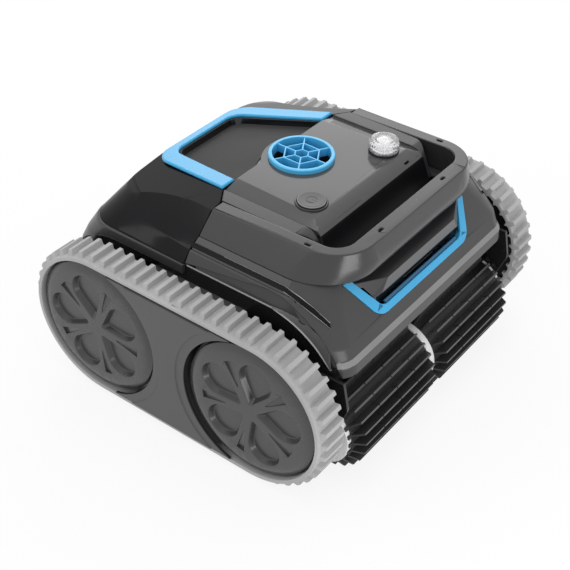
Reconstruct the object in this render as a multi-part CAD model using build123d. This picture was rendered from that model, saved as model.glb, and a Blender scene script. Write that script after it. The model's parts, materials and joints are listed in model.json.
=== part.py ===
from build123d import *
import os
from math import atan, cos, degrees, pi, radians, sin, sqrt

# A track-driven pool cleaner. Millimetres, +Z up, front towards -Y, the ground at Z = 0.
# Y is measured from the middle between the axles, and shifted once at the end.

# Tracks
wheel_base = 200.0
wheel_radius = 78.1
belt_fit = 0.3
belt_thickness = 4.4
belt_width = 34.4
tooth_height = 6.0
tooth_root = 7.4
tooth_land = 4.6
tooth_inset = 3.0
tooth_lean = 2.6
teeth_per_run = 14
teeth_per_turn = 36
tooth_phase = 0.88
lug_height = 4.0
lug_root = 7.0
lug_length = 6.0
lug_clearance = 1.0

# Wheels, caps and axles
rim_wall = 4.0
web_thickness = 5.0
wheel_ribs = 5
rib_thickness = 4.0
hub_radius = 17.0
axle_radius = 7.0
shaft_depth = 24.0
axle_head = 3.0
running_fit = 0.06
press_fit = 0.02
end_float = 0.6
cap_margin = 2.2
cap_setback = 0.8
cap_thickness = 8.6
cap_rim_width = 8.6
cap_rim_fall = 3.6
petal_count = 5
petal_depth = 6.0
petal_centre = 43.5
petal_round = 19.0
petal_tip = 13.0
petal_tip_round = 2.5
petal_wall_run = 2.8
arm_groove_foot = 21.0
arm_groove_end = 57.0
arm_groove_width = 9.0
arm_groove_depth = 2.6
front_petal_turn = 10.0
rear_petal_turn = -13.0

# Lower tub
tub_half = 153.5
tub_wall = 4.0
ground_clearance = 24.0
tub_rear_top = 179.6
tub_front_top = 198.0
tub_ahead = 70.0
tub_behind = 66.0
tail_rise = 70.0
tail_run = 22.0
track_gap = 17.5
boss_radius = 16.0
boss_length = 9.5
bush_radius = 11.0
bush_flange = 14.0
bush_flange_thickness = 1.0
inlet_half = 60.0
inlet_length = 30.0
inlet_behind = -25.0
collar_wall = 2.5

# Upper body: heights, with the half width and corner radius of each level given below
casing_wall = 3.5
skirt_z = 131.0
lip_z = 142.7
shoulder_z = 178.0
crease_z = 195.0
ledge_z = 208.0
top_z = 236.0
body_ahead = 75.0
lip_setback = 1.0
strip_z = 147.4
strip_slope = 1.17
break_z = 160.0
break_y = 164.6
apron_slope = 1.4
tail_slope = 1.82
crease_step = 7.0
ledge_step = 17.0
top_step = 33.0
skirt_corner = 24.0
shoulder_corner = 32.0
ledge_corner = 37.0
seam_y = 19.0
seam_gap = 1.6
seam_dip = 12.0
tail_top_drop = 0.193
bin_taper = 56.0
bin_shoulder_drop = 0.2
bin_shoulder_rear_drop = 0.26

# Flank edges
flank_edge_rear = 182.0
flank_arc_y = 18.0
flank_arc_z = 104.0
flank_arc_radius = 90.5
flank_depth = 4.5
band_height = 11.5
band_z = 180.0
band_arc_y = 8.0
band_arc_radius = 77.5
groove_z = 196.0
groove_height = 2.4
groove_depth = 1.4
groove_front = 112.0

# Carry handle
handle_half_gap = 109.5
handle_front = 149.0
handle_foot = 2.5
handle_knee = 5.5
handle_knee_z = 217.0
handle_bar = 16.0
handle_inner_corner = 22.0
handle_corner = 40.0
handle_foot_corner = 60.0
handle_slot_length = 6.5
handle_slot_width = 3.0
handle_slot_depth = 4.0
handle_slot_side_y = 100.4
handle_slot_front_x = 56.2
handle_rear_z = 235.0
handle_front_z = 238.8
handle_gap = 0.2

# Deck, grille, button and light
deck_front = 94.5
deck_front_foot = 106.7
deck_roll = 20.0
deck_groove = 2.0
deck_half = 91.0
deck_rear_half = 72.0
deck_front_half = 78.0
deck_rise = 2.5
deck_sink = 2.0
deck_slot_x = 65.0
deck_slot_y = 93.3
deck_slot_length = 8.0
deck_slot_width = 1.6
grille_y = -7.0
grille_radius = 34.4
grille_ring = 4.0
grille_round = 1.5
grille_bar = 1.6
grille_bar_depth = 9.0
grille_bar_drop = 1.0
grille_rise = 5.0
grille_skirt = 6.0
grille_inner_hex = 8.5
grille_outer_hex = 20.7
bulge_y = -15.7
bulge_radius = 48.5
button_x = -61.0
button_y = -64.0
button_radius = 14.3
button_gap = 0.4
button_rise = 4.2
button_travel = 2.0
button_stem = 6.0
bezel_width = 1.6
bezel_rise = 1.8
light_x = 63.0
light_y = -65.9
light_radius = 15.2
light_height = 13.5
light_flutes = 28
light_flute_depth = 0.9
light_base_height = 2.0
light_plug_radius = 9.0

# Hand scoop and front trim
scoop_wall = 2.5
scoop_fit = 0.2
scoop_edge_y = 156.5
scoop_edge_z = 192.5
scoop_edge_half = 61.5
scoop_sweep = 2.2
scoop_flare = 0.6
scoop_face_height = 14.0
scoop_undercut = 2.2
scoop_foot_z = 162.5
scoop_hump_y = 125.0
scoop_hump_z = 200.4
scoop_hump_round = 40.0
scoop_well_z = 197.4
scoop_lip = 9.0
scoop_slot_half = 27.0
scoop_slot_height = 2.4
scoop_slot_z = 171.5
trim_half_foot = 82.0
trim_half_top = 108.0
trim_foot_z = 160.0
trim_top_z = 201.0
trim_width = 7.5
trim_rise = 1.2
trim_sink = 6.0
trim_corner = 20.0
trim_arm = 9.0

# Filter bin
grip_half_front = 94.0
grip_half_rear = 68.0
grip_rear = 133.0
grip_arm = 19.0
grip_bar = 11.0
grip_rise = 3.0
grip_round = 1.8
grip_corner = 26.0
panel_corner = 17.0
panel_floor_corner = 14.0
panel_fit = 0.3
panel_wall = 2.0
panel_drop = 7.0
panel_lip = 5.0
panel_lip_drop = 1.0
panel_bevel = 3.6
basket_half = 92.0
basket_front = 36.0
basket_rear = 134.0
basket_floor_z = 36.0
basket_wall = 2.5
basket_corner = 14.0
window_rows = 2
window_height = 46.0
window_width = 26.0
window_gap = 7.0
mesh_thickness = 0.8
bin_seat = 0.4

# Pump
duct_radius = 32.4
duct_wall = 3.0
duct_foot_z = 140.0
pump_radius = 22.0
pump_foot_z = 62.0
pump_head_z = 168.0
strut_thickness = 3.0
strut_count = 3
impeller_clearance = 1.5
impeller_hub = 11.0
impeller_height = 20.0
impeller_lift = 4.0
blade_count = 5
blade_thickness = 2.2
blade_pitch = 38.0
pump_shaft_radius = 4.0
pump_shaft_depth = 14.0

# Battery, electronics and drive
battery_half = 100.0
battery_front = -84.0
battery_depth = 40.0
battery_height = 66.0
control_half = 82.0
control_front = -79.0
control_depth = 38.0
control_height = 24.0
gearbox_width = 32.0
gearbox_half_length = 21.0
gearbox_half_height = 23.0
drive_motor_radius = 15.5
drive_motor_length = 62.0

# Brush
brush_ahead = 45.5
brush_radius = 50.0
brush_ground_gap = 0.6
brush_core_radius = 36.5
brush_core_wall = 3.5
brush_end_gap = 1.0
brush_disc_radius = 35.0
brush_disc_thickness = 4.0
fin_count = 24
fin_sleeve = 1.6
fin_rib_width = 4.0
fin_rib_gap = 0.3
fin_thickness = 2.2
fin_end_inset = 6.5
fin_rib_inset = 1.6
fin_mid_gap = 5.0
fin_chamfer = 7.0
fin_slits = 3
fin_slit_width = 1.2
fin_slit_depth = 8.5
fin_phase = 12.5
bay_gap = 4.5
bay_mouth_drop = 1.5
journal_radius = 6.0
bracket_thickness = 4.0
bracket_boss = 15.0
bracket_nose_radius = 18.0
bracket_nose_ahead = 63.0
bracket_nose_z = 103.0
bracket_root = 28.0

# Side plates
plate_thickness = 4.6
plate_proud = 3.0
plate_fit = 1.9
plate_land = 1.2
plate_border = 10.0
plate_horn = 22.0
leg_wall = 3.0
leg_inset = 3.0
leg_end_inset = 6.0

# Places worked out from the sizes above
axle_y = wheel_base / 2
belt_inner_radius = wheel_radius + belt_fit
belt_outer_radius = belt_inner_radius + belt_thickness
tooth_tip_radius = belt_outer_radius + tooth_height
axle_z = tooth_tip_radius
belt_in = tub_half + track_gap
belt_out = belt_in + belt_width
cap_face = belt_out - cap_setback
cap_back = cap_face - cap_thickness
cap_radius = wheel_radius - cap_margin
drum_in = belt_in + lug_length + lug_clearance
boss_end = tub_half + boss_length
bush_end = boss_end + bush_flange_thickness
hub_in = bush_end + end_float
hub_out = cap_back - axle_head - 2 * end_float
plate_in = cap_face - plate_thickness + plate_proud
plate_out = plate_in + plate_thickness
arch_radius = wheel_radius + plate_fit
brush_y = -axle_y - brush_ahead
brush_z = brush_radius + brush_ground_gap
bay_radius = brush_radius + bay_gap
flank_half = tub_half + casing_wall
body_half = axle_y + body_ahead
inlet_y = axle_y + inlet_behind
deck_z = top_z + deck_rise
deck_floor = top_z - deck_sink
deck_thickness = deck_z - deck_floor
ceiling_z = deck_floor - casing_wall
deck_slant = (deck_front_foot - deck_front) / (top_z - ledge_z)
deck_foot_z = scoop_well_z + scoop_fit
apron_angle = atan(apron_slope)
scoop_half_foot = trim_half_foot - trim_arm
scoop_half_top = trim_half_top - trim_arm
trim_inner_z = trim_foot_z + trim_width * sin(apron_angle)
tub_rim_z = trim_foot_z - trim_sink * cos(apron_angle) - tub_wall
tail_angle = degrees(atan(tail_top_drop))
handle_slant = (top_step - ledge_step) / (top_z - ledge_z)
frame_shift = (brush_radius - brush_y - axle_y - tooth_tip_radius) / 2
far = 400.0


def rod_x(radius, x_from, x_to, y, z):
    middle = Pos((x_from + x_to) / 2, y, z)
    return middle * Rot(0, 90, 0) * Cylinder(radius, x_to - x_from)


def rod_z(radius, z_from, z_to, x, y):
    return Pos(x, y, (z_from + z_to) / 2) * Cylinder(radius, z_to - z_from)


def block(x_from, x_to, y_from, y_to, z_from, z_to):
    middle = Pos((x_from + x_to) / 2, (y_from + y_to) / 2, (z_from + z_to) / 2)
    return middle * Box(x_to - x_from, y_to - y_from, z_to - z_from)


def side_face(points):
    return Plane.YZ * Polygon(*points, align=None)


def prism_x(face, x_from, x_to):
    return Pos(x_from, 0, 0) * extrude(face, amount=x_to - x_from, dir=(1, 0, 0))


def prism_y(points, y_from, y_to):
    face = Plane.XZ * Polygon(*points, align=None)
    return Pos(0, y_from, 0) * extrude(face, amount=y_to - y_from, dir=(0, 1, 0))


def prism_z(points, z_from, z_to):
    face = Polygon(*points, align=None)
    return Pos(0, 0, z_from) * extrude(face, amount=z_to - z_from, dir=(0, 0, 1))


def both_sides(points):
    return points + [(-x, y) for x, y in reversed(points)]


def left_of(piece):
    return mirror(piece, about=Plane.YZ)


# Body envelope: a ruled loft through rounded rectangles, inset for walls
levels = [
    (skirt_z, flank_half, skirt_corner),
    (lip_z, flank_half, skirt_corner),
    (strip_z, flank_half, skirt_corner),
    (break_z, flank_half, skirt_corner),
    (shoulder_z, flank_half, shoulder_corner),
    (crease_z, flank_half - crease_step, ledge_corner),
    (ledge_z, flank_half - ledge_step, ledge_corner),
    (top_z, flank_half - top_step, ledge_corner),
]


def lip_back(z):
    return lip_setback * min(max((z - skirt_z) / (lip_z - skirt_z), 0), 1)


def apron_y(z):
    strip = min(max(z - lip_z, 0), strip_z - lip_z) / strip_slope
    steep_run = body_half - lip_setback - (strip_z - lip_z) / strip_slope - break_y
    steep = steep_run * min(max((z - strip_z) / (break_z - strip_z), 0), 1)
    gentle = max(z - break_z, 0) / apron_slope
    return -body_half + lip_back(z) + strip + steep + gentle


def tail_y(z):
    return body_half - lip_back(z) - max(z - lip_z, 0) / tail_slope


def level_size(z):
    for (low_z, low_half, low_corner), (high_z, high_half, high_corner) in zip(levels, levels[1:]):
        if z <= high_z:
            share = max(z - low_z, 0) / (high_z - low_z)
            half = low_half + share * (high_half - low_half)
            return half, low_corner + share * (high_corner - low_corner)
    return levels[-1][1:]


def heights(bottom, top):
    return [bottom] + [z for z, half, corner in levels if bottom < z < top] + [top]


def body_level(z, inset):
    half, corner = level_size(z)
    front = apron_y(z) + inset
    rear = tail_y(z) - inset
    outline = RectangleRounded(2 * (half - inset), rear - front, corner - inset)
    return Pos(0, (front + rear) / 2, z) * outline


def body_hull(inset, bottom, top):
    return loft([body_level(z, inset) for z in heights(bottom, top)], ruled=True)


# The filter bin narrows towards the rear above the shoulder
def bin_level(z, inset):
    half, corner = level_size(z)
    taper = bin_taper * max(z - shoulder_z, 0) / (top_z - shoulder_z)
    front = [(half - inset, seam_y - seam_dip)]
    rear = [(half - taper - inset, tail_y(z) - inset)]
    outline = Polygon(*both_sides(front + rear), align=None)
    return Pos(0, 0, z) * fillet(outline.vertices().group_by(Axis.Y)[-1], corner - inset)


def bin_hull(inset, bottom, top):
    return loft([bin_level(z, inset) for z in heights(bottom, top)], ruled=True)


def above_bin_shoulders(drop):
    corner = (grip_half_front, seam_y, top_z - drop)
    outward = (bin_shoulder_drop, bin_shoulder_rear_drop, 1)
    right = extrude(Plane(origin=corner, z_dir=outward) * Rectangle(2 * far, 2 * far), amount=far)
    return right + left_of(right)


def front_zone(gap):
    arm_in = handle_half_gap + handle_gap
    arm_out = flank_half - top_step
    dip = seam_y - seam_dip + gap
    edge = [
        (deck_half + deck_groove, seam_y + gap),
        (arm_in + deck_groove, dip),
        (arm_out, dip),
        (flank_half, seam_y + gap),
        (far, seam_y + gap),
        (far, -far),
    ]
    return prism_z(both_sides(edge), 0, far) + rod_z(bulge_radius + gap, 0, far, 0, bulge_y)


# Tracks
def track_slice(radius, x_from, x_to):
    outline = Plane.YZ * SlotCenterToCenter(wheel_base, 2 * radius)
    return Pos(0, 0, axle_z) * prism_x(outline, x_from, x_to)


def belt_place(step):
    turn = teeth_per_turn / 2
    run_pitch = wheel_base / teeth_per_run
    step_angle = 360 / teeth_per_turn
    if step < teeth_per_run:
        return Pos(0, axle_y - step * run_pitch, axle_z)
    step -= teeth_per_run
    if step < turn:
        return Pos(0, -axle_y, axle_z) * Rot(step * step_angle, 0, 0)
    step -= turn
    if step < teeth_per_run:
        return Pos(0, step * run_pitch - axle_y, axle_z) * Rot(180, 0, 0)
    step -= teeth_per_run
    return Pos(0, axle_y, axle_z) * Rot(180 + step * step_angle, 0, 0)


def belt_tooth():
    root_r = belt_outer_radius - belt_thickness / 4
    tip_r = tooth_tip_radius
    side = side_face(
        [
            (-tooth_root / 2, root_r),
            (tooth_root / 2, root_r),
            (tooth_land / 2, tip_r),
            (-tooth_land / 2, tip_r),
        ]
    )
    bar = prism_x(side, belt_in, belt_out)
    foot_x = belt_out - tooth_inset
    leaning_end = [(belt_in, root_r), (foot_x, root_r), (foot_x - tooth_lean, tip_r), (belt_in, tip_r)]
    return bar & prism_y(leaning_end, -tooth_root, tooth_root)


def belt_lug():
    root_r = belt_inner_radius + belt_thickness / 4
    tip_r = belt_inner_radius - lug_height
    side = side_face([(-lug_root / 2, root_r), (lug_root / 2, root_r), (0, tip_r)])
    return prism_x(side, belt_in, belt_in + lug_length)


def track_belt():
    band = track_slice(belt_outer_radius, belt_in, belt_out)
    band -= track_slice(belt_inner_radius, belt_in, belt_out)
    tooth = belt_tooth()
    lug = belt_lug()
    steps = range(2 * teeth_per_run + teeth_per_turn)
    teeth = [belt_place(step + tooth_phase) * tooth for step in steps]
    lugs = [belt_place(step + tooth_phase) * lug for step in steps]
    return band + teeth + lugs


# Wheels, with their axis along X at the origin of Y and Z
def wheel(bore):
    rim = rod_x(wheel_radius, drum_in, cap_back, 0, 0)
    rim -= rod_x(wheel_radius - rim_wall, drum_in, cap_back, 0, 0)
    web_in = (drum_in + cap_back - web_thickness) / 2
    web = rod_x(wheel_radius - rim_wall / 2, web_in, web_in + web_thickness, 0, 0)
    hub = rod_x(hub_radius, hub_in, hub_out, 0, 0)
    rib = block(drum_in, web_in + 1, -rib_thickness / 2, rib_thickness / 2, 0, wheel_radius - rim_wall / 2)
    ribs = [Rot(n * 360 / wheel_ribs, 0, 0) * rib for n in range(wheel_ribs)]
    return rim + web + hub + ribs - rod_x(bore, hub_in, hub_out, 0, 0)


def petal_outline(inset):
    lobe = Pos(0, petal_centre) * Circle(petal_round - inset)
    tip = Pos(0, petal_tip + 2 * inset) * Circle(petal_tip_round)
    return Plane.YZ * make_hull((lobe + tip).edges())


def arm_groove():
    foot = arm_groove_foot
    end = arm_groove_end
    floor_x = cap_face - arm_groove_depth
    corners = [(0, foot), (arm_groove_width / 2, end), (-arm_groove_width / 2, end)]
    fall = [(cap_face, foot), (far, foot), (far, end), (floor_x, end)]
    return prism_x(side_face(corners), floor_x, far) & prism_y(fall, -arm_groove_width, arm_groove_width)


def wheel_cap(turn):
    rim_x = cap_face - cap_rim_fall
    disc = rod_x(cap_radius, cap_back, rim_x, 0, 0)
    rim = Pos(rim_x, 0, 0) * (Plane.YZ * Circle(cap_radius))
    face = Pos(cap_face, 0, 0) * (Plane.YZ * Circle(cap_radius - cap_rim_width))
    disc += loft([rim, face], ruled=True)
    petal = loft([petal_outline(0), Pos(-petal_depth, 0, 0) * petal_outline(petal_wall_run)], ruled=True)
    half_step = 180 / petal_count
    for n in range(petal_count):
        angle = turn + n * 360 / petal_count
        disc -= Rot(angle, 0, 0) * (Pos(cap_face, 0, 0) * petal)
        disc -= Rot(angle + half_step, 0, 0) * arm_groove()
    return disc


def idler_axle():
    end = hub_out + end_float
    pin = rod_x(axle_radius, tub_half + end_float, end, -axle_y, axle_z)
    head = rod_x((axle_radius + hub_radius) / 2, end, end + axle_head, -axle_y, axle_z)
    return pin + head


def drive_shaft():
    return rod_x(axle_radius, tub_half - tub_wall - shaft_depth, hub_out, axle_y, axle_z)


def shaft_bush():
    sleeve = rod_x(bush_radius - press_fit, tub_half - tub_wall, boss_end, axle_y, axle_z)
    flange = rod_x(bush_flange, boss_end, bush_end, axle_y, axle_z)
    return sleeve + flange - rod_x(axle_radius + running_fit, 0, far, axle_y, axle_z)


def arches(radius, x_from, x_to):
    return rod_x(radius, x_from, x_to, axle_y, axle_z) + rod_x(radius, x_from, x_to, -axle_y, axle_z)


def side_plate():
    reach = axle_y - plate_horn
    tall = belt_inner_radius - plate_fit / 2
    plate = block(plate_in, plate_out, -reach, reach, axle_z - tall, axle_z + tall)
    plate -= arches(arch_radius, plate_in, plate_out)
    plate -= arches(arch_radius + plate_border, plate_out - plate_land, plate_out)
    leg_tall = tall - leg_end_inset
    leg_reach = axle_y - wheel_radius / 2
    leg = block(tub_half, plate_in, -leg_reach, leg_reach, axle_z - leg_tall, axle_z + leg_tall)
    leg -= arches(arch_radius + leg_inset, tub_half, plate_in)
    hollow_tall = leg_tall - leg_wall
    hollow_reach = leg_reach - leg_wall
    hollow = block(
        tub_half,
        plate_in,
        -hollow_reach,
        hollow_reach,
        axle_z - hollow_tall,
        axle_z + hollow_tall,
    )
    hollow -= arches(arch_radius + leg_inset + leg_wall, tub_half, plate_in)
    return plate + (leg - hollow)


# Lower tub
def tub_profile(wall, rear_top, front_top):
    front = -axle_y - tub_ahead + wall
    rear = axle_y + tub_behind - wall
    floor = ground_clearance + wall
    face = side_face(
        [
            (front, floor),
            (rear - tail_run, floor),
            (rear, floor + tail_rise),
            (rear, rear_top),
            (seam_y - seam_dip, rear_top),
            (seam_y - seam_dip, front_top),
            (front, front_top),
        ]
    )
    bay = Pos(0, brush_y, brush_z) * (Plane.YZ * Circle(bay_radius + wall))
    mouth_z = skirt_z - bay_mouth_drop + wall
    mouth_y = brush_y + wall
    mouth = side_face([(-far, 0), (mouth_y, 0), (mouth_y, mouth_z), (-far, mouth_z)])
    half_chord = sqrt((bay_radius + wall) ** 2 - (brush_z - floor) ** 2)
    under = side_face(
        [
            (front, floor),
            (brush_y + half_chord, floor),
            (brush_y + half_chord, brush_z),
            (front, brush_z),
        ]
    )
    return face - bay - under - mouth


def inlet_box(grow, z_from, z_to):
    half = inlet_half + grow
    run = inlet_length / 2 + grow
    return block(-half, half, inlet_y - run, inlet_y + run, z_from, z_to)


def base_tub():
    inside = tub_half - tub_wall
    tub = prism_x(tub_profile(0, tub_rear_top, tub_front_top), -tub_half, tub_half)
    tub &= body_hull(casing_wall, 0, ledge_z)
    space = prism_x(tub_profile(tub_wall, far, far), -inside, inside)
    tub -= space & body_hull(casing_wall + tub_wall, 0, ledge_z)
    rim_half = inside - ledge_step
    tub -= block(-rim_half, rim_half, -far, seam_y - seam_dip, tub_rim_z, far)
    collar_top = basket_floor_z - bin_seat
    tub += inlet_box(collar_wall, ground_clearance, collar_top)
    tub -= inlet_box(0, 0, far)
    for side in (1, -1):
        reach = sorted((side * tub_half, side * boss_end))
        wall = sorted((side * inside, side * boss_end))
        tub += rod_x(boss_radius, *reach, -axle_y, axle_z)
        tub += rod_x(boss_radius, *reach, axle_y, axle_z)
        tub -= rod_x(axle_radius + press_fit, *reach, -axle_y, axle_z)
        tub -= rod_x(bush_radius, *wall, axle_y, axle_z)
    return tub


# Upper casing
def upper_block(inset, z_from, z_to):
    half = handle_half_gap - handle_gap - inset
    rear = far / 2
    corner = handle_inner_corner - inset
    foot_front = -deck_front_foot + inset
    head_front = -deck_front + inset
    foot = Pos(0, (foot_front + rear) / 2, z_from) * RectangleRounded(2 * half, rear - foot_front, corner)
    head = Pos(0, (head_front + rear) / 2, z_to) * RectangleRounded(2 * half, rear - head_front, corner)
    return loft([foot, head], ruled=True)


# The deck block seen from the side, with its front edge rolled over
def deck_side(drop, foot_z):
    inset = drop * sqrt(1 + deck_slant**2)
    head_z = deck_z - drop
    head_y = -deck_front + deck_slant * (head_z - top_z) + inset
    foot_y = -deck_front + deck_slant * (foot_z - top_z) + inset
    rear = far / 2
    face = Polygon((head_y, head_z), (foot_y, foot_z), (rear, foot_z), (rear, head_z), align=None)
    corner = face.vertices().group_by(Axis.Y)[-1].sort_by(Axis.X)[0]
    return Plane.YZ * fillet(corner, deck_roll - drop)


def deck_body(drop, foot_z, half):
    return prism_x(deck_side(drop, foot_z), -half, half)


# The opening inside the front trim, up to the deck
def scoop_opening(grow):
    width = [
        (scoop_half_foot + grow, 0),
        (scoop_half_foot + grow, trim_inner_z),
        (scoop_half_top + grow, trim_top_z),
        (scoop_half_top + grow, far),
    ]
    opening = prism_y(both_sides(width), -far, 0)
    opening &= block(-far, far, -far, 0, trim_inner_z - scoop_wall - grow, far)
    return opening - deck_body(deck_rise, 0, far)


def scoop_side():
    back_y = -scoop_edge_y + scoop_undercut
    face_foot_z = scoop_edge_z - scoop_face_height
    face = Polygon(
        (-scoop_edge_y, scoop_edge_z),
        (-scoop_edge_y, face_foot_z),
        (back_y, face_foot_z - scoop_undercut),
        (back_y, scoop_foot_z),
        (back_y + scoop_wall, scoop_foot_z),
        (back_y + scoop_wall, face_foot_z),
        (back_y + scoop_lip, scoop_edge_z - scoop_wall),
        (-scoop_hump_y, scoop_hump_z - scoop_wall),
        (-deck_front_foot / 2, scoop_well_z - scoop_wall),
        (-deck_front_foot / 2, scoop_well_z),
        (-deck_front_foot, scoop_well_z),
        (-scoop_hump_y, scoop_hump_z),
        align=None,
    )
    hump = face.vertices().sort_by_distance((-scoop_hump_y, scoop_hump_z))[0]
    return Plane.YZ * fillet(hump, scoop_hump_round)


def hand_scoop():
    tray = prism_x(scoop_side(), -far, far)
    corner = (scoop_edge_half, -scoop_edge_y, scoop_edge_z)
    outward = Plane(origin=corner, z_dir=(1, -scoop_sweep, scoop_flare))
    right_of_face = extrude(outward * Rectangle(2 * far, 2 * far), amount=far)
    tray -= right_of_face
    tray -= left_of(right_of_face)
    walls = block(-far, far, -far, -deck_front_foot, scoop_well_z - scoop_wall, ledge_z)
    walls &= body_hull(0, skirt_z, ledge_z)
    tray = (tray + (walls - scoop_opening(-scoop_wall))) & scoop_opening(-scoop_fit)
    slot_low = scoop_slot_z - scoop_slot_height / 2
    slot_high = scoop_slot_z + scoop_slot_height / 2
    tray -= block(-scoop_slot_half, scoop_slot_half, -far, 0, slot_low, slot_high)
    tray -= deck_body(-scoop_fit, 0, far)
    return tray - trim_band(trim_rise + 1)


def flank_groove():
    slab = block(-far, far, -groove_front, far, groove_z, groove_z + groove_height)
    return (slab & body_hull(0, skirt_z, ledge_z)) - body_hull(groove_depth, skirt_z, ledge_z)


def front_casing():
    lower = body_hull(0, skirt_z, ledge_z)
    upper = upper_block(0, ledge_z, top_z) & deck_body(deck_rise, 0, far)
    lower_space = body_hull(casing_wall, skirt_z - far / 4, ledge_z - casing_wall)
    upper_space = upper_block(casing_wall, crease_z - casing_wall, ceiling_z)
    upper_space &= deck_body(deck_thickness + casing_wall, 0, far)
    casing = (lower + upper) & front_zone(0)
    casing -= lower_space
    casing -= upper_space
    recess_half = deck_half + deck_groove
    recess = block(-recess_half, recess_half, -far, far, deck_foot_z - scoop_wall, far)
    casing -= recess - deck_body(deck_thickness, 0, far)
    casing -= scoop_opening(0)
    casing -= flank_groove()
    edge = [
        (far, skirt_z - far / 4),
        (far, flank_edge_rear),
        (seam_y, flank_edge_rear),
        (flank_arc_y - axle_y, flank_arc_z + flank_arc_radius),
        (flank_arc_y - axle_y, skirt_z - far / 4),
    ]
    for side in (1, -1):
        reach = sorted((side * (tub_half - flank_depth), side * far))
        casing -= prism_x(side_face(edge), *reach)
        casing -= rod_x(flank_arc_radius, *reach, flank_arc_y - axle_y, flank_arc_z)
        lean = sorted((side * (tub_half - flank_depth - crease_step), side * far))
        hollow = rod_x(flank_arc_radius, *lean, flank_arc_y - axle_y, flank_arc_z)
        casing -= hollow & block(-far, far, -far, far, shoulder_z, far)
    casing -= rod_z(duct_radius + press_fit, crease_z, far, 0, grille_y)
    casing -= rod_z(button_stem + button_gap, crease_z, far, button_x, button_y)
    casing -= rod_z(light_plug_radius + press_fit, crease_z, far, light_x, light_y)
    return casing - trim_band(trim_rise + 1)


def rear_frame():
    band = body_hull(0, skirt_z, ledge_z) & block(-far, far, -far, far, 0, band_z)
    band -= body_hull(casing_wall, skirt_z - far / 4, ledge_z)
    band -= front_zone(seam_gap)
    low = band_z - band_height
    arc_y = axle_y + band_arc_y
    edge = [(0, 0), (0, low), (arc_y, low), (arc_y, 0)]
    for side in (1, -1):
        reach = sorted((side * (tub_half - flank_depth), side * far))
        band -= prism_x(side_face(edge), *reach)
        band -= rod_x(band_arc_radius, *reach, arc_y, low - band_arc_radius)
    return band


# Handle
def handle_level(z, front, corner):
    rear = far / 4
    half = flank_half - ledge_step - handle_slant * (z - ledge_z)
    outline = RectangleRounded(2 * half, rear + front, corner)
    return Pos(0, (rear - front) / 2, z) * outline


def carry_handle():
    head_z = handle_front_z + handle_foot
    outer = loft(
        [
            handle_level(ledge_z, handle_front + handle_foot, handle_foot_corner),
            handle_level(handle_knee_z, handle_front + handle_knee, handle_foot_corner),
            handle_level(head_z, handle_front, handle_corner),
        ],
        ruled=True,
    )
    inner_front = handle_bar - handle_front
    inner = RectangleRounded(2 * handle_half_gap, far - inner_front, handle_inner_corner)
    outer -= Pos(0, (far + inner_front) / 2, 0) * extrude(inner, amount=far, dir=(0, 0, 1))
    slope = (handle_front_z - handle_rear_z) / (handle_front + seam_y)
    over = far * slope
    top = side_face(
        [
            (-handle_front - far, handle_front_z + over),
            (seam_y + far, handle_rear_z - over),
            (seam_y + far, far),
            (-handle_front - far, far),
        ]
    )
    handle = (outer - prism_x(top, -far, far)) & front_zone(0)
    slot = Box(handle_slot_width, handle_slot_length, 2 * handle_slot_depth)
    bar_y = handle_bar / 2 - handle_front
    arm_x = handle_half_gap + handle_bar / 2
    arm_z = handle_front_z - slope * (handle_front - handle_slot_side_y)
    for side in (1, -1):
        handle -= Pos(side * arm_x, -handle_slot_side_y, arm_z) * slot
        handle -= Pos(side * handle_slot_front_x, bar_y, handle_front_z) * Rot(0, 0, 90) * slot
    return handle


# Deck, grille, button and light
def deck_panel():
    front = -far / 2
    flare = (deck_front_half - deck_rear_half) * (seam_y - front) / (seam_y + deck_front)
    base = [(deck_half, seam_y), (deck_half, front)]
    head = [(deck_rear_half, seam_y), (deck_rear_half + flare, front)]
    foot_face = Pos(0, 0, deck_floor) * Polygon(*both_sides(base), align=None)
    head_face = Pos(0, 0, deck_z) * Polygon(*both_sides(head), align=None)
    within = loft([foot_face, head_face], ruled=True)
    within += block(-deck_half, deck_half, front, seam_y, deck_foot_z, deck_floor)
    panel = deck_body(0, deck_foot_z, deck_half) - deck_body(deck_thickness, 0, far)
    panel &= within
    panel += rod_z(bulge_radius, deck_floor, deck_z, 0, bulge_y)
    panel -= rod_z(duct_radius + press_fit, 0, far, 0, grille_y)
    panel -= rod_z(button_radius + button_gap + bezel_width, 0, far, button_x, button_y)
    slot = extrude(SlotOverall(deck_slot_length, deck_slot_width), amount=far, dir=(0, 0, 1))
    panel -= Pos(deck_slot_x, -deck_slot_y, 0) * slot
    return panel - rod_z(light_plug_radius + press_fit, 0, far, light_x, light_y)


def outlet_grille():
    mouth = grille_radius - grille_ring
    rim_z = deck_z + grille_rise
    bar_z = rim_z - grille_bar_drop - grille_bar_depth
    bars = Sketch()
    for hexagon in (grille_outer_hex, grille_inner_hex):
        bars += RegularPolygon(hexagon, 6, rotation=30)
        bars -= RegularPolygon(hexagon - grille_bar, 6, rotation=30)
    spoke_length = grille_radius - grille_inner_hex
    spoke_middle = grille_inner_hex + spoke_length / 2 - grille_bar / 2
    for n in range(6):
        bars += Rot(0, 0, n * 60) * (Pos(0, spoke_middle) * Rectangle(grille_bar, spoke_length))
    bars &= Circle((mouth + duct_radius) / 2)
    ring = rod_z(grille_radius, deck_z, rim_z, 0, grille_y)
    ring = fillet(ring.edges().filter_by(GeomType.CIRCLE).sort_by(Axis.Z)[-1], grille_round)
    ring += rod_z(duct_radius, deck_z - grille_skirt, deck_z + grille_rise / 2, 0, grille_y)
    ring -= rod_z(mouth, 0, far, 0, grille_y)
    return ring + Pos(0, grille_y, bar_z) * extrude(bars, amount=grille_bar_depth, dir=(0, 0, 1))


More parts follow.
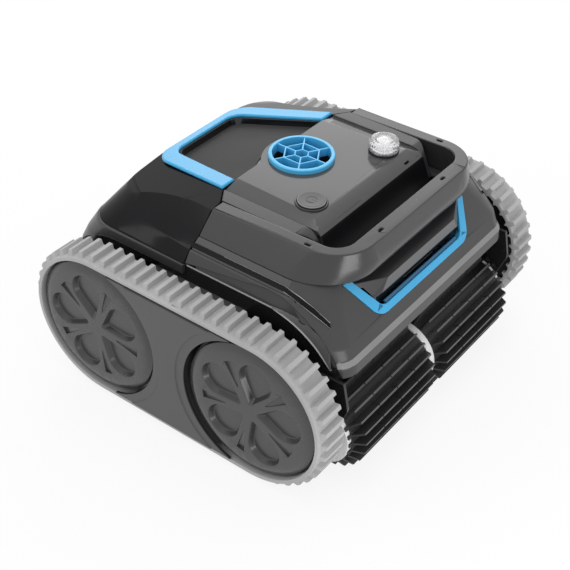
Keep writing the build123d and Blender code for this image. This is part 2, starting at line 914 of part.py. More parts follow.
def button_bezel():
    outer = button_radius + button_gap + bezel_width
    ring = rod_z(outer, deck_floor, deck_z + bezel_rise, button_x, button_y)
    return ring - rod_z(outer - bezel_width, 0, far, button_x, button_y)


def power_button():
    cap = rod_z(button_radius, deck_z - button_travel / 2, deck_z + button_rise, button_x, button_y)
    cap = fillet(cap.edges().filter_by(GeomType.CIRCLE).sort_by(Axis.Z)[-1], button_rise / 3)
    stem_foot = ceiling_z + end_float
    return cap + rod_z(button_stem, stem_foot, deck_z, button_x, button_y)


def light_base():
    ring = rod_z(light_radius + light_flute_depth, deck_z, deck_z + light_base_height, light_x, light_y)
    return ring + rod_z(light_plug_radius, ceiling_z, deck_z, light_x, light_y)


def light_lens():
    foot = deck_z + light_base_height
    lens = rod_z(light_radius, foot, foot + light_height, light_x, light_y)
    lens = chamfer(lens.edges().filter_by(GeomType.CIRCLE).sort_by(Axis.Z)[-1], light_height / 8)
    flute_width = pi * light_radius / light_flutes
    flute = rod_z(flute_width / 2, foot + light_height / 6, foot + light_height * 2, 0, 0)
    for n in range(light_flutes):
        angle = n * 360 / light_flutes
        reach = light_radius + flute_width / 2 - light_flute_depth
        place = Pos(light_x + reach * cos(radians(angle)), light_y + reach * sin(radians(angle)), 0)
        lens -= place * flute
    return lens


# Front trim: a U of even width lying in the apron
def trim_plane():
    normal = Vector(0, -sin(apron_angle), cos(apron_angle))
    return Plane(origin=(0, apron_y(trim_foot_z), trim_foot_z), x_dir=(1, 0, 0), z_dir=normal)


def trim_band(rise):
    span = (trim_top_z - trim_foot_z) / sin(apron_angle)
    outer = Polygon(*both_sides([(trim_half_foot, 0), (trim_half_top, span)]), align=None)
    inner_edge = [(trim_half_foot - trim_arm, trim_width), (trim_half_top - trim_arm, span + 1)]
    inner = Polygon(*both_sides(inner_edge), align=None)
    outer = fillet(outer.vertices().group_by(Axis.Y)[0], trim_corner)
    inner = fillet(inner.vertices().group_by(Axis.Y)[0], trim_corner - trim_width)
    band = trim_plane() * (outer - inner)
    outward = trim_plane().z_dir
    return Pos(*(outward * -trim_sink)) * extrude(band, amount=trim_sink + rise, dir=outward)


# Filter bin
def bin_plane():
    return Plane(origin=(0, seam_y, top_z), x_dir=(1, 0, 0), z_dir=(0, tail_top_drop, 1))


def below_bin_top(drop):
    foot = seam_y - far
    head = seam_y + far
    edge = [
        (foot, 0),
        (foot, top_z - drop + far * tail_top_drop),
        (head, top_z - drop - far * tail_top_drop),
        (head, 0),
    ]
    return prism_x(side_face(edge), -far, far)


def bin_outline(arm, bar, corner):
    length = (grip_rear - seam_y) / cos(radians(tail_angle)) - bar
    front = seam_gap
    half_front = grip_half_front - arm
    half_rear = grip_half_rear - arm
    outline = Polygon(*both_sides([(half_front, front), (half_rear, length)]), align=None)
    return fillet(outline.vertices().group_by(Axis.Y)[-1], corner)


def bin_grip():
    band = bin_outline(0, 0, grip_corner) - bin_outline(grip_arm, grip_bar, panel_corner)
    shape = extrude(bin_plane() * band, amount=grip_rise, dir=bin_plane().z_dir)
    shape -= front_zone(seam_gap)
    head_face = shape.faces().sort_by(Axis((0, 0, 0), bin_plane().z_dir))[-1]
    return fillet(head_face.edges(), grip_round)


def panel_tray(fit, drop):
    face = bin_outline(grip_arm + fit, grip_bar + fit, panel_corner)
    return extrude(bin_plane() * face, amount=-drop, dir=bin_plane().z_dir)


def bin_panel():
    tray = panel_tray(panel_fit, panel_drop + panel_wall)
    rim = panel_fit + panel_wall
    head = bin_outline(grip_arm + rim, grip_bar + rim, panel_corner - rim)
    sunk = bin_outline(grip_arm + panel_bevel, grip_bar + panel_bevel, panel_floor_corner)
    floor = Pos(*(bin_plane().z_dir * -panel_drop)) * (bin_plane() * sunk)
    tray -= loft([bin_plane() * head, floor], ruled=True)
    tray -= panel_tray(rim, panel_drop + panel_lip_drop) & front_zone(panel_lip)
    return tray - front_zone(seam_gap)


def bin_cover():
    foot = band_z + bin_seat
    cover = (bin_hull(0, foot, top_z) & below_bin_top(0)) - above_bin_shoulders(0)
    space = bin_hull(casing_wall, foot, top_z) & below_bin_top(casing_wall)
    cover -= space - above_bin_shoulders(casing_wall)
    cover -= front_zone(seam_gap)
    return cover - panel_tray(0, far / 4)


def basket_shape(inset, floor_z):
    half = basket_half - inset
    front = basket_front + inset
    rear = basket_rear - inset
    outline = RectangleRounded(2 * half, rear - front, basket_corner - inset)
    shape = Pos(0, (front + rear) / 2, floor_z) * extrude(outline, amount=far, dir=(0, 0, 1))
    return shape & below_bin_top(panel_drop + panel_wall + 2 * bin_seat)


def filter_basket():
    basket = basket_shape(0, basket_floor_z) - basket_shape(basket_wall, basket_floor_z + basket_wall)
    basket -= inlet_box(0, 0, basket_floor_z + 2 * basket_wall)
    pitch = window_width + window_gap
    window_sink = basket_wall - mesh_thickness
    middle_y = (basket_front + basket_rear) / 2
    along_x = int((2 * basket_half - 2 * basket_corner) // pitch)
    along_y = int((basket_rear - basket_front - 2 * basket_corner) // pitch)
    for row in range(window_rows):
        low = basket_floor_z + 2 * window_gap + row * (window_height + window_gap)
        for n in range(along_x):
            x = (n - (along_x - 1) / 2) * pitch
            left, right = x - window_width / 2, x + window_width / 2
            basket -= block(left, right, -far, basket_front + window_sink, low, low + window_height)
            basket -= block(left, right, basket_rear - window_sink, far, low, low + window_height)
        for n in range(along_y):
            y = middle_y + (n - (along_y - 1) / 2) * pitch
            near, further = y - window_width / 2, y + window_width / 2
            basket -= block(-far, window_sink - basket_half, near, further, low, low + window_height)
            basket -= block(basket_half - window_sink, far, near, further, low, low + window_height)
    return basket


# Pump
def pump_duct():
    tube = rod_z(duct_radius, duct_foot_z, deck_z - grille_skirt, 0, grille_y)
    tube -= rod_z(duct_radius - duct_wall, 0, far, 0, grille_y)
    strut = block(
        pump_radius,
        duct_radius - duct_wall / 2,
        -strut_thickness / 2,
        strut_thickness / 2,
        duct_foot_z,
        pump_head_z - impeller_lift,
    )
    struts = [Rot(0, 0, 90 + n * 360 / strut_count) * strut for n in range(strut_count)]
    return tube + [Pos(0, grille_y, 0) * piece for piece in struts]


def pump_motor():
    can = rod_z(pump_radius, pump_foot_z, pump_head_z, 0, grille_y)
    can = chamfer(can.edges().filter_by(GeomType.CIRCLE), pump_radius / 6)
    return can - rod_z(pump_shaft_radius + running_fit, pump_head_z - pump_shaft_depth, far, 0, grille_y)


def impeller():
    foot = pump_head_z + impeller_lift
    head = foot + impeller_height
    hub = rod_z(impeller_hub, foot, head, 0, 0)
    hub = chamfer(hub.edges().filter_by(GeomType.CIRCLE).sort_by(Axis.Z)[-1], impeller_hub / 3)
    reach = duct_radius - duct_wall - impeller_clearance
    long_blade = Box(reach, blade_thickness, impeller_height * 2)
    blade = Pos(reach / 2, 0, (foot + head) / 2) * Rot(blade_pitch, 0, 0) * long_blade
    blade &= rod_z(reach, foot + end_float, head - end_float, 0, 0)
    fan = hub + [Rot(0, 0, n * 360 / blade_count) * blade for n in range(blade_count)]
    fan -= rod_z(pump_shaft_radius + press_fit, foot, head - impeller_hub / 2, 0, 0)
    return Pos(0, grille_y, 0) * fan


def impeller_shaft():
    head = pump_head_z + impeller_lift + impeller_height - impeller_hub / 2
    return rod_z(pump_shaft_radius, pump_head_z - pump_shaft_depth + end_float, head, 0, grille_y)


# Battery, electronics and drive
def battery_pack():
    foot = ground_clearance + tub_wall
    rear = battery_front + battery_depth
    pack = block(-battery_half, battery_half, battery_front, rear, foot, foot + battery_height)
    return fillet(pack.edges().filter_by(Axis.X), battery_depth / 8)


def control_box():
    foot = ceiling_z - control_height
    rear = control_front + control_depth
    box = block(-control_half, control_half, control_front, rear, foot, ceiling_z)
    box = fillet(box.edges().filter_by(Axis.Z), control_height / 5)
    box -= rod_z(button_stem + 2 * button_gap, ceiling_z - 2 * button_travel, far, button_x, button_y)
    return box


def gearbox():
    outer = tub_half - tub_wall
    case = block(
        outer - gearbox_width,
        outer,
        axle_y - gearbox_half_length,
        axle_y + gearbox_half_length,
        axle_z - gearbox_half_height,
        axle_z + gearbox_half_height,
    )
    case = fillet(case.edges().filter_by(Axis.X), gearbox_half_length / 4)
    return case - rod_x(axle_radius + running_fit, outer - shaft_depth - end_float, outer, axle_y, axle_z)


def drive_motor():
    rear = axle_y - gearbox_half_length
    middle_x = tub_half - tub_wall - gearbox_width / 2
    can = Pos(middle_x, rear - drive_motor_length / 2, axle_z) * Rot(90, 0, 0) * Cylinder(
        drive_motor_radius, drive_motor_length
    )
    return chamfer(can.edges().filter_by(GeomType.CIRCLE).sort_by(Axis.Y)[0], drive_motor_radius / 6)


# Brush
def brush_core():
    half = tub_half - brush_end_gap
    core = rod_x(brush_core_radius, -half, half, 0, 0)
    core -= rod_x(brush_core_radius - brush_core_wall, -half, half, 0, 0)
    for side in (1, -1):
        reach = sorted((side * (half - brush_disc_thickness), side * half))
        core += rod_x(brush_disc_radius, *reach, 0, 0)
        core -= rod_x(journal_radius + press_fit, *reach, 0, 0)
    return Pos(0, brush_y, brush_z) * core


def brush_journal():
    half = tub_half - brush_end_gap
    reach = tub_half + bracket_thickness
    return rod_x(journal_radius, half - brush_disc_thickness, reach, brush_y, brush_z)


def brush_fins():
    end = tub_half - fin_end_inset
    sleeve_r = brush_core_radius + press_fit
    root_r = sleeve_r + fin_sleeve
    sleeve = rod_x(root_r, fin_mid_gap, end, 0, 0) - rod_x(sleeve_r, fin_mid_gap, end, 0, 0)
    tip_from = fin_mid_gap + fin_chamfer
    tip_to = end - fin_chamfer
    outline = [
        (fin_mid_gap, root_r - fin_sleeve / 2),
        (end, root_r - fin_sleeve / 2),
        (end, root_r),
        (tip_to, brush_radius),
        (tip_from, brush_radius),
        (fin_mid_gap, root_r),
    ]
    fin = prism_y(outline, -fin_thickness / 2, fin_thickness / 2)
    slit_pitch = (tip_to - tip_from) / (fin_slits + 1)
    for n in range(fin_slits):
        x = tip_from + (n + 1) * slit_pitch
        slit_foot = brush_radius - fin_slit_depth
        fin -= block(x - fin_slit_width / 2, x + fin_slit_width / 2, -far, far, slit_foot, far)
    rib_end = tub_half - fin_rib_inset
    rib_half = fin_rib_width / 2
    fin += block(fin_rib_gap, rib_end, -rib_half, rib_half, sleeve_r + press_fit, root_r)
    fins = [Rot(fin_phase + n * 360 / fin_count, 0, 0) * fin for n in range(fin_count)]
    return Pos(0, brush_y, brush_z) * (sleeve + fins)


def brush_bracket():
    nose = Pos(-axle_y - bracket_nose_ahead, bracket_nose_z) * Circle(bracket_nose_radius)
    boss = Pos(brush_y, brush_z) * Circle(bracket_boss)
    root_middle = -axle_y - (bracket_root + body_ahead) / 2
    root = Pos(root_middle, skirt_z) * Rectangle(body_ahead - bracket_root, bracket_thickness)
    outline = make_hull((nose + boss + root).edges())
    plate = prism_x(Plane.YZ * outline, tub_half, tub_half + bracket_thickness)
    return plate - rod_x(journal_radius + running_fit, 0, far, brush_y, brush_z)


def rear_wheel(piece):
    return Pos(0, axle_y, axle_z) * piece


def front_wheel(piece):
    return Pos(0, -axle_y, axle_z) * piece


nodes = {
    "base_tub": base_tub(),
    "front_casing": front_casing(),
    "rear_frame": rear_frame(),
    "carry_handle": carry_handle(),
    "deck_panel": deck_panel(),
    "hand_scoop": hand_scoop(),
    "front_trim": trim_band(trim_rise),
    "outlet_grille": outlet_grille(),
    "button_bezel": button_bezel(),
    "power_button": power_button(),
    "light_base": light_base(),
    "light_lens": light_lens(),
    "bin_cover": bin_cover(),
    "bin_grip": bin_grip(),
    "bin_panel": bin_panel(),
    "filter_basket": filter_basket(),
    "pump_duct": pump_duct(),
    "pump_motor": pump_motor(),
    "impeller": impeller(),
    "impeller_shaft": impeller_shaft(),
    "battery_pack": battery_pack(),
    "control_box": control_box(),
    "brush_core": brush_core(),
}

handed = {
    "track_belt": track_belt(),
    "side_plate": side_plate(),
    "wheel_front": front_wheel(wheel(axle_radius + running_fit)),
    "wheel_rear": rear_wheel(wheel(axle_radius + press_fit)),
    "wheel_cap_front": front_wheel(wheel_cap(front_petal_turn)),
    "wheel_cap_rear": rear_wheel(wheel_cap(rear_petal_turn)),
    "idler_axle": idler_axle(),
    "drive_shaft": drive_shaft(),
    "shaft_bush": shaft_bush(),
    "gearbox": gearbox(),
    "drive_motor": drive_motor(),
    "brush_fins": brush_fins(),
    "brush_journal": brush_journal(),
    "brush_bracket": brush_bracket(),
}

for name, piece in handed.items():
    nodes[name + "_right"] = piece
    nodes[name + "_left"] = left_of(piece)

os.makedirs("parts", exist_ok=True)
for name, piece in nodes.items():
    export_step(Pos(0, frame_shift, 0) * piece, f"parts/{name}.step")
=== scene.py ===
import json
import math

import bmesh
import bpy
from mathutils import Matrix, Vector

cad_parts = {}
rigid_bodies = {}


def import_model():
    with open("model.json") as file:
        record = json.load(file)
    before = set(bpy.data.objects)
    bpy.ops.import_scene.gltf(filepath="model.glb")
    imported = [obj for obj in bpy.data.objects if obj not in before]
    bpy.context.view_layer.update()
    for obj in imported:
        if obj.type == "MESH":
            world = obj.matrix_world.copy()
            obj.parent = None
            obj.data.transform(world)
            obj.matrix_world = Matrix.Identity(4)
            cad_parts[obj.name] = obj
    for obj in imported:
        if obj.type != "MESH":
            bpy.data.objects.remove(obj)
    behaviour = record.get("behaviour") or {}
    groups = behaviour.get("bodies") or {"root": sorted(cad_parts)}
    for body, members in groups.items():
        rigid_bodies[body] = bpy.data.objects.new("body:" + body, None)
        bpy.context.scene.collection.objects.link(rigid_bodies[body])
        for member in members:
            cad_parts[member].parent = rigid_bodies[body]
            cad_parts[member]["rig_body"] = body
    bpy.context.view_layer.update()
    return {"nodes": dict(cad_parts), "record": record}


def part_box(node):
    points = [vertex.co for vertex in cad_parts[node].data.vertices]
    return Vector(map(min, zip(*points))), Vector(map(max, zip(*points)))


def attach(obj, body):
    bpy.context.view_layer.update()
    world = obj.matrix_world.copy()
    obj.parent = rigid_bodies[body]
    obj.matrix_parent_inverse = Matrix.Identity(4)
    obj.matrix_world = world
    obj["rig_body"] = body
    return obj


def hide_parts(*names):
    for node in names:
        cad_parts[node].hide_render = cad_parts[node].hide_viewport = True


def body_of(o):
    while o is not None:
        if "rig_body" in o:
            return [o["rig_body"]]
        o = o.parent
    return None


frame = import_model()
cad_nodes = frame["nodes"]
slot_of = {part["node"]: part["material_slot"] for part in frame["record"]["subparts"]}

# A track-driven pool cleaner. Metres, +Z up, front towards -Y, ground at Z = 0.
MM = 0.001
BODY = "body"

# Finishes, as linear colours
CASING_GREY = (0.038, 0.038, 0.039)
DECK_GREY = (0.066, 0.066, 0.067)
HANDLE_GREY = (0.030, 0.030, 0.031)
SCOOP_GREY = (0.017, 0.017, 0.018)
# Painted highlight: a lighter grey for the narrow facet along the apron's foot
HIGHLIGHT_STRIP_GREY = (0.200, 0.200, 0.203)
# Painted highlight: a light grey for thin bright lines along edges and rims
HIGHLIGHT_LINE_GREY = (0.300, 0.300, 0.304)
# Painted light: a lighter grey for the chin facet and the skirt cheek, lit copies of darker mouldings
LIT_FACET_GREY = (0.075, 0.075, 0.077)
PLATE_GREY = (0.066, 0.066, 0.067)
CAP_GREY = (0.046, 0.046, 0.047)
PANEL_GREY = (0.032, 0.032, 0.033)
GLOSS_BLACK = (0.006, 0.006, 0.007)
TUB_BLACK = (0.012, 0.012, 0.013)
WHEEL_BLACK = (0.014, 0.014, 0.015)
SKY_BLUE = (0.042, 0.370, 0.670)
# Painted shade: a darker copy of the trim blue for the recessed ledge
SHADED_LEDGE_BLUE = (0.004, 0.085, 0.180)
# Lighter than the trim blue: partly the grille's own tone, partly painted highlight on the ring
GRILLE_BLUE = (0.075, 0.460, 0.800)
BELT_GREY = (0.385, 0.385, 0.387)
FIN_BLACK = (0.016, 0.015, 0.016)
# Painted highlight: a lighter grey on the brush fin tips
FIN_TIP_HIGHLIGHT_GREY = (0.085, 0.085, 0.087)
CORE_WHITE = (0.72, 0.72, 0.72)
BUTTON_GREY = (0.072, 0.072, 0.074)
BASKET_GREY = (0.20, 0.21, 0.22)
BUSH_IVORY = (0.62, 0.60, 0.54)
MOTOR_GREY = (0.34, 0.35, 0.36)
STEEL_GREY = (0.52, 0.53, 0.54)

# Tool grain of a moulding, by its scale, and how scuffs and drift change the roughness
FINE_GRAIN = 1800.0
SCUFF_SHARE = 0.35
WEAR_SPREAD = 0.15

# Limits of merging and slivers, in mm, and the angle past which an edge counts as sharp, in degrees
MERGE_GAP = 0.004
SLIVER = 0.02
SEAM_GAP = 0.001
SHARP_ANGLE = 34.0

# Limits of the faces that take another finish than their moulding: heights and depths in mm, and a slope
APRON_STRIP_FOOT, APRON_STRIP_TOP = 142.0, 148.0
TUB_SHOULDER_FOOT = 176.0
CHIN_FOOT, CHIN_TOP = 178.0, 193.0
PANEL_EDGE, PANEL_UP = Vector((0, 22.35, 236.0)), Vector((0, 0.19, 0.982))
PANEL_LIP_DEPTH = 7.5
PANEL_WALL_SLOPE = 0.93
ARCH_REACH = 4.0
FIN_TIP_DEPTH = 0.6

# The camera stands to the front and left, looking down
CAMERA_PLACE = (-0.84435, -0.59958, 0.88604)
CAMERA_TURN = (51.723, -1.280, -53.047)
CAMERA_LENS = 75.0
SENSOR_WIDTH = 36.0

# The floor and the surround
FLOOR_WHITE = 0.86
FLOOR_SIZE = 6.0
SURROUND_LIGHT = 0.90


# Shared effects
def effect_group(name, inputs, outputs):
    """An empty shader group with float sockets, and its two end nodes."""
    group = bpy.data.node_groups.new(name, "ShaderNodeTree")
    for label, value in inputs:
        socket = group.interface.new_socket(label, in_out="INPUT", socket_type="NodeSocketFloat")
        socket.default_value = value
    for label in outputs:
        group.interface.new_socket(label, in_out="OUTPUT", socket_type="NodeSocketFloat")
    return group, group.nodes.new("NodeGroupInput"), group.nodes.new("NodeGroupOutput")


def noise_in(group, coords, detail, scale):
    """Noise on Object coordinates, at a scale that the group takes in."""
    noise = group.nodes.new("ShaderNodeTexNoise")
    noise.inputs["Detail"].default_value = detail
    group.links.new(coords.outputs["Object"], noise.inputs["Vector"])
    group.links.new(scale, noise.inputs["Scale"])
    return noise


def moulded_grain():
    """Slow tone drift of a moulding and the fine spark grain of its tool."""
    group, start, end = effect_group(
        "moulded_grain", [("Drift Scale", 18.0), ("Grain Scale", FINE_GRAIN)], ["Drift", "Grain"]
    )
    coords = group.nodes.new("ShaderNodeTexCoord")
    drift = noise_in(group, coords, 3.0, start.outputs["Drift Scale"])
    grain = noise_in(group, coords, 1.0, start.outputs["Grain Scale"])
    group.links.new(drift.outputs["Fac"], end.inputs["Drift"])
    group.links.new(grain.outputs["Fac"], end.inputs["Grain"])
    return group


def handling_scuffs():
    """Sparse hairline rubs left by handling, stretched along one way."""
    group, start, end = effect_group("handling_scuffs", [("Scuff Scale", 90.0)], ["Scuffs"])
    coords = group.nodes.new("ShaderNodeTexCoord")
    stretch = group.nodes.new("ShaderNodeMapping")
    stretch.inputs["Scale"].default_value = (1.0, 14.0, 6.0)
    stretch.inputs["Rotation"].default_value = (0.3, 0.2, 0.6)
    group.links.new(coords.outputs["Object"], stretch.inputs["Vector"])
    rubs = group.nodes.new("ShaderNodeTexNoise")
    rubs.inputs["Detail"].default_value = 4.0
    group.links.new(stretch.outputs["Vector"], rubs.inputs["Vector"])
    group.links.new(start.outputs["Scuff Scale"], rubs.inputs["Scale"])
    sparse = group.nodes.new("ShaderNodeMapRange")
    sparse.inputs["From Min"].default_value = 0.56
    sparse.inputs["From Max"].default_value = 0.74
    group.links.new(rubs.outputs["Fac"], sparse.inputs["Value"])
    group.links.new(sparse.outputs["Result"], end.inputs["Scuffs"])
    return group


GRAIN = moulded_grain()
SCUFFS = handling_scuffs()


# Materials
def blank_material(name):
    """A new material with its tree and its shader."""
    material = bpy.data.materials.new(name)
    material.use_nodes = True
    tree = material.node_tree
    return material, tree, tree.nodes["Principled BSDF"]


def place_group(tree, group, **values):
    """An effect in a material, with its own values."""
    node = tree.nodes.new("ShaderNodeGroup")
    node.node_tree = group
    for label, value in values.items():
        node.inputs[label.replace("_", " ")].default_value = value
    return node


def shades_of(tree, colour, spread, value):
    """A colour that drifts a little darker and lighter with a value."""
    ramp = tree.nodes.new("ShaderNodeValToRGB")
    low, high = ramp.color_ramp.elements
    low.position, high.position = 0.3, 0.7
    low.color = [c * (1 - spread) for c in colour] + [1]
    high.color = [c * (1 + spread) for c in colour] + [1]
    tree.links.new(value, ramp.inputs["Fac"])
    return ramp.outputs["Color"]


def spread_of(tree, value, low, high):
    """A value from 0 to 1 carried to the span from low to high."""
    span = tree.nodes.new("ShaderNodeMapRange")
    span.inputs["To Min"].default_value = low
    span.inputs["To Max"].default_value = high
    tree.links.new(value, span.inputs["Value"])
    return span.outputs["Result"]


def relief(tree, shader, height, depth):
    """Fine relief on the shader, its depth in metres."""
    bump = tree.nodes.new("ShaderNodeBump")
    bump.inputs["Strength"].default_value = 1.0
    bump.inputs["Distance"].default_value = depth
    tree.links.new(height, bump.inputs["Height"])
    tree.links.new(bump.outputs["Normal"], shader.inputs["Normal"])


def moulded(name, colour, roughness, gloss=0.5, grain=FINE_GRAIN, depth=0.012 * MM, spread=0.05):
    """Moulded plastic with tone drift, scuffs and tool grain."""
    material, tree, shader = blank_material(name)
    grain_node = place_group(tree, GRAIN, Grain_Scale=grain)
    scuff_node = place_group(tree, SCUFFS)
    tree.links.new(shades_of(tree, colour, spread, grain_node.outputs["Drift"]), shader.inputs["Base Color"])
    worn = tree.nodes.new("ShaderNodeMath")
    worn.operation = "MULTIPLY_ADD"
    worn.inputs[1].default_value = SCUFF_SHARE
    tree.links.new(scuff_node.outputs["Scuffs"], worn.inputs[0])
    tree.links.new(grain_node.outputs["Drift"], worn.inputs[2])
    smooth, coarse = roughness * (1 - WEAR_SPREAD), roughness * (1 + WEAR_SPREAD)
    rough = spread_of(tree, worn.outputs["Value"], smooth, coarse)
    tree.links.new(rough, shader.inputs["Roughness"])
    shader.inputs["Specular IOR Level"].default_value = gloss
    relief(tree, shader, grain_node.outputs["Grain"], depth)
    return material


def rubber(name, colour, roughness, grain, depth):
    """A matt moulding with the faint sheen of rubber."""
    material = moulded(name, colour, roughness, 0.3, grain, depth, 0.08)
    shader = material.node_tree.nodes["Principled BSDF"]
    shader.inputs["Sheen Weight"].default_value = 0.10
    shader.inputs["Sheen Roughness"].default_value = 0.5
    return material


def turned_metal(name, colour, roughness):
    """Bare metal off the lathe."""
    material = moulded(name, colour, roughness, grain=2600.0, depth=0.01 * MM)
    material.node_tree.nodes["Principled BSDF"].inputs["Metallic"].default_value = 1.0
    return material


def crystal(name):
    """Clear moulded plastic of the status light."""
    material, tree, shader = blank_material(name)
    grain_node = place_group(tree, GRAIN, Grain_Scale=700.0)
    tint = shades_of(tree, (0.95, 0.955, 0.96), 0.02, grain_node.outputs["Drift"])
    tree.links.new(tint, shader.inputs["Base Color"])
    tree.links.new(spread_of(tree, grain_node.outputs["Drift"], 0.02, 0.06), shader.inputs["Roughness"])
    shader.inputs["Transmission Weight"].default_value = 0.70
    shader.inputs["IOR"].default_value = 1.49
    relief(tree, shader, grain_node.outputs["Grain"], 0.02 * MM)
    return material


def painted_glow_material(name):
    """White core with a faint painted glow, standing in for light that reaches it through the lens."""
    material = moulded(name, (0.80, 0.81, 0.82), 0.35)
    shader = material.node_tree.nodes["Principled BSDF"]
    # Emission as painted light, standing in for light reaching the core through the lens
    shader.inputs["Emission Color"].default_value = (1.0, 1.0, 1.0, 1.0)
    shader.inputs["Emission Strength"].default_value = 0.30
    return material


casing_finish = moulded("casing_finish", CASING_GREY, 0.32, 0.44)
painted_highlight_strip_finish = moulded("painted_highlight_strip_finish", HIGHLIGHT_STRIP_GREY, 0.30)
painted_highlight_line_finish = moulded("painted_highlight_line_finish", HIGHLIGHT_LINE_GREY, 0.30)
deck_finish = moulded("deck_finish", DECK_GREY, 0.13, 0.45, depth=0.004 * MM, spread=0.03)
handle_finish = moulded("handle_finish", HANDLE_GREY, 0.24, 0.52, depth=0.004 * MM, spread=0.03)
scoop_finish = moulded("scoop_finish", SCOOP_GREY, 0.32)
painted_light_facet_finish = moulded("painted_light_facet_finish", LIT_FACET_GREY, 0.30)
# Painted shade: glossy black for the undercut below the chin and the walls and deep lip of the bin panel
painted_shade_gloss_finish = moulded("painted_shade_gloss_finish", GLOSS_BLACK, 0.08, 0.5, depth=0.002 * MM)
# Painted shade: a dark, nearly matt black for walls that look dark only because they are in shade
painted_shade_band_finish = moulded("painted_shade_band_finish", GLOSS_BLACK, 0.35, 0.10)
plate_finish = moulded("plate_finish", PLATE_GREY, 0.42)
cap_finish = moulded("cap_finish", CAP_GREY, 0.26)
panel_finish = moulded("panel_finish", PANEL_GREY, 0.62, 0.3, 1400.0, 0.04 * MM)
tub_finish = moulded("tub_finish", TUB_BLACK, 0.16, 0.4, depth=0.004 * MM)
cover_finish = moulded("cover_finish", GLOSS_BLACK, 0.12, 0.14, depth=0.002 * MM)
wheel_finish = moulded("wheel_finish", WHEEL_BLACK, 0.45)
trim_finish = moulded("trim_finish", SKY_BLUE, 0.24, 0.40, depth=0.004 * MM, spread=0.03)
grille_finish = moulded("grille_finish", GRILLE_BLUE, 0.22, 0.6, depth=0.004 * MM, spread=0.03)
painted_shade_ledge_finish = moulded("painted_shade_ledge_finish", SHADED_LEDGE_BLUE, 0.24, depth=0.004 * MM, spread=0.03)
button_finish = moulded("button_finish", BUTTON_GREY, 0.36)
basket_finish = moulded("basket_finish", BASKET_GREY, 0.5)
inner_finish = moulded("inner_finish", WHEEL_BLACK, 0.5)
fan_finish = moulded("fan_finish", CORE_WHITE, 0.4)
core_finish = moulded("core_finish", CORE_WHITE, 0.35)
bush_finish = moulded("bush_finish", BUSH_IVORY, 0.45)
belt_finish = rubber("belt_finish", BELT_GREY, 0.55, 1200.0, 0.03 * MM)
painted_highlight_tip_finish = rubber("painted_highlight_tip_finish", FIN_TIP_HIGHLIGHT_GREY, 0.45, 1500.0, 0.02 * MM)
fin_finish = rubber("fin_finish", FIN_BLACK, 0.40, 1500.0, 0.02 * MM)
motor_finish = turned_metal("motor_finish", MOTOR_GREY, 0.35)
steel_finish = turned_metal("steel_finish", STEEL_GREY, 0.25)
crystal_finish = crystal("crystal_finish")
painted_glow_core_finish = painted_glow_material("painted_glow_core_finish")

SLOT_FINISH = {
    "casing_grey": casing_finish,
    "deck_grey": deck_finish,
    "handle_grey": handle_finish,
    "scoop_grey": scoop_finish,
    "tub_black": tub_finish,
    "trim_blue": trim_finish,
    "button_grey": button_finish,
    "lens_clear": crystal_finish,
    "cover_smoke": cover_finish,
    "panel_grey": panel_finish,
    "basket_grey": basket_finish,
    "plate_grey": plate_finish,
    "wheel_black": wheel_finish,
    "belt_rubber": belt_finish,
    "fin_rubber": fin_finish,
    "core_white": core_finish,
    "inner_black": inner_finish,
    "inner_white": fan_finish,
    "bush_white": bush_finish,
    "motor_grey": motor_finish,
    "steel": steel_finish,
}


def dress_cad_nodes():
    """Gives each CAD node the finish of its slot."""
    for name, node in cad_nodes.items():
        node.data.materials.clear()
        node.data.materials.append(SLOT_FINISH[slot_of[name]])


# Mouldings with real edge radii
def put_in_place(name, shape, finishes, body):
    """Makes a shape a piece that rides a body."""
    mesh = bpy.data.meshes.new(name)
    shape.to_mesh(mesh)
    shape.free()
    for finish in finishes:
        mesh.materials.append(finish)
    piece = bpy.data.objects.new(name, mesh)
    bpy.context.collection.objects.link(piece)
    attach(piece, body)
    return piece


def soft_moulding(name, edge, segments=2, finish=None, accents=(), crease=SHARP_ANGLE):
    """The moulding at a CAD node, its sharp edges broken by a radius and some faces in other finishes."""
    shape = bmesh.new()
    shape.from_mesh(cad_nodes[name].data)
    bmesh.ops.remove_doubles(shape, verts=shape.verts, dist=MERGE_GAP * MM)
    bmesh.ops.dissolve_degenerate(shape, dist=SLIVER * MM, edges=shape.edges)
    shape.normal_update()
    for face in shape.faces:
        face.smooth = True
        face.material_index = 0
        for number, (_, picks) in enumerate(accents, 1):
            if picks(face.calc_center_median() / MM, face.normal):
                face.material_index = number
    finishes = [finish or SLOT_FINISH[slot_of[name]]] + [other for other, _ in accents]
    piece = put_in_place(name + "_moulding", shape, finishes, body_of(cad_nodes[name])[0])
    piece.data.set_sharp_from_angle(angle=math.radians(crease))
    broken = piece.modifiers.new("broken_edges", "BEVEL")
    broken.width = edge * MM
    broken.segments = segments
    broken.limit_method = "ANGLE"
    broken.angle_limit = math.radians(SHARP_ANGLE)
    broken.use_clamp_overlap = False
    broken.miter_outer = "MITER_ARC"
    even = piece.modifiers.new("even_shading", "WEIGHTED_NORMAL")
    even.keep_sharp = True
    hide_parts(name)


# Which faces of a moulding take another finish, from a face's centre in mm and its normal
# The strip along the apron's foot takes a lighter grey as painted highlight
def apron_highlight_strip(centre, normal):
    return APRON_STRIP_FOOT < centre.z < APRON_STRIP_TOP and normal.y < -0.4 and normal.z > 0.3


def tub_shoulder(centre, normal):
    return abs(normal.x) > 0.7 and normal.z > 0.2 and centre.z > TUB_SHOULDER_FOOT


# The chin facet is painted lighter than the shaded top of the scoop, as painted light
def lit_chin_facet(centre, normal):
    return normal.y < -0.97 and CHIN_FOOT < centre.z < CHIN_TOP


# The undercut below the chin is painted glossy black as painted shade
def shaded_chin_undercut(centre, normal):
    return normal.y < -0.5 and centre.z < CHIN_FOOT


